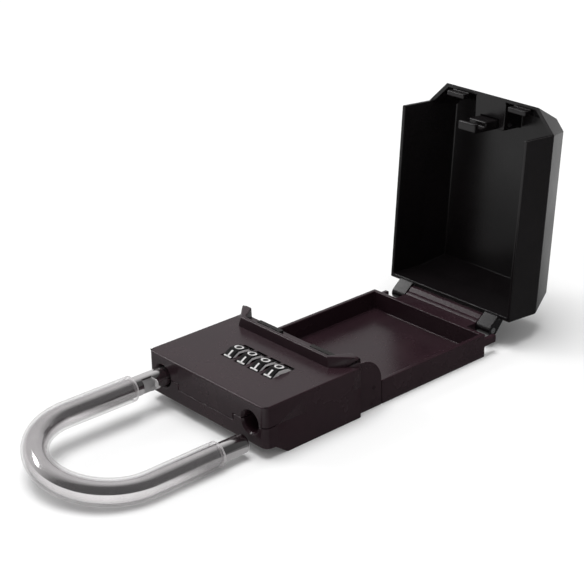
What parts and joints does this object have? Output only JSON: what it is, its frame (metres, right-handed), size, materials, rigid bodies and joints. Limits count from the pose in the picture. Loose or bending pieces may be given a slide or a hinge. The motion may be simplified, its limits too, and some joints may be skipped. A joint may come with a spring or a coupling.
{
  "type": "key lockbox",
  "caption": "Combination key lockbox on its back, with its deep lid hinged open and its sleeved shackle drawn out and swung down.",
  "frame": {"origin": "middle of the flat back that the box lies on", "axes": "+X from the shackle end towards the lid's hinge, +Y to the side of the shackle's captive leg, +Z out of the back, up from the table"},
  "size_m": [0.2867, 0.08, 0.1135],
  "materials": {
    "black_casting": "satin black powder coat on a die casting",
    "black_face": "satin black powder coat, a little warm",
    "black_lid": "smooth satin black coat",
    "black_rubber": "matt black",
    "black_dial": "semi-gloss black with white digits",
    "bright_steel": "polished steel",
    "spring_steel": "plain steel",
    "bare_zinc": "uncoated die-cast zinc",
    "clear_vinyl": "clear glossy vinyl tube"
  },
  "bodies": {
    "lock_body": {"back_body": "black_casting", "side_cheek": "black_casting", "lock_cover": "black_face", "rest_pad_left": "black_rubber", "rest_pad_right": "black_rubber", "detent_spring": "spring_steel", "latch_spring": "spring_steel", "dial_spindle": "spring_steel", "hinge_pin": "spring_steel", "cover_screw_front_left": "spring_steel", "cover_screw_front_right": "spring_steel", "cover_screw_rear_left": "spring_steel", "cover_screw_rear_right": "spring_steel"},
    "lid": {"lid_shell": "black_lid", "lid_catch": "black_lid", "catch_pin": "spring_steel"},
    "shackle_carrier": {"shackle_collar": "spring_steel"},
    "shackle": {"shackle_rod": "bright_steel", "shackle_sleeve": "clear_vinyl"},
    "latch": {"latch_bolt": "bare_zinc"},
    "release": {"shackle_bolt": "bare_zinc", "release_slide": "bare_zinc"},
    "reset": {"reset_lever": "bare_zinc"},
    "dial_1": {"dial_wheel_1": "black_dial", "dial_tumbler_1": "bare_zinc"},
    "dial_2": {"dial_wheel_2": "black_dial", "dial_tumbler_2": "bare_zinc"},
    "dial_3": {"dial_wheel_3": "black_dial", "dial_tumbler_3": "bare_zinc"},
    "dial_4": {"dial_wheel_4": "black_dial", "dial_tumbler_4": "bare_zinc"}
  },
  "joints": [
    {"name": "lid_hinge", "type": "hinge", "parent": "lock_body", "child": "lid", "pos_m": [0.07565, 0, 0.0087], "axis": [0, -1, 0], "range_deg": [0, 94.5]},
    {"name": "shackle_slide", "type": "slide", "parent": "lock_body", "child": "shackle_carrier", "axis": [1, 0, 0], "range_m": [0, 0.0028]},
    {"name": "shackle_swing", "type": "hinge", "parent": "shackle_carrier", "child": "shackle", "pos_m": [-0.07725, 0.03, 0.015], "axis": [1, 0, 0], "continuous": true},
    {"name": "latch_slide", "type": "slide", "parent": "lock_body", "child": "latch", "axis": [-1, 0, 0], "range_m": [0, 0.0034], "stiffness_N_per_m": 100},
    {"name": "release_press", "type": "slide", "parent": "lock_body", "child": "release", "axis": [0, -1, 0], "range_m": [0, 0.0025], "stiffness_N_per_m": 100},
    {"name": "reset_turn", "type": "hinge", "parent": "lock_body", "child": "reset", "pos_m": [-0.02225, -0.015, 0.01], "axis": [1, 0, 0], "range_deg": [0, 90]},
    {"name": "dial_1_turn", "type": "hinge", "parent": "lock_body", "child": "dial_1", "pos_m": [-0.04995, -0.0175, 0.018], "axis": [0, 1, 0], "continuous": true},
    {"name": "dial_2_turn", "type": "hinge", "parent": "lock_body", "child": "dial_2", "pos_m": [-0.04995, -0.0085, 0.018], "axis": [0, 1, 0], "continuous": true},
    {"name": "dial_3_turn", "type": "hinge", "parent": "lock_body", "child": "dial_3", "pos_m": [-0.04995, 0.0005, 0.018], "axis": [0, 1, 0], "continuous": true},
    {"name": "dial_4_turn", "type": "hinge", "parent": "lock_body", "child": "dial_4", "pos_m": [-0.04995, 0.0095, 0.018], "axis": [0, 1, 0], "continuous": true}
  ]
}
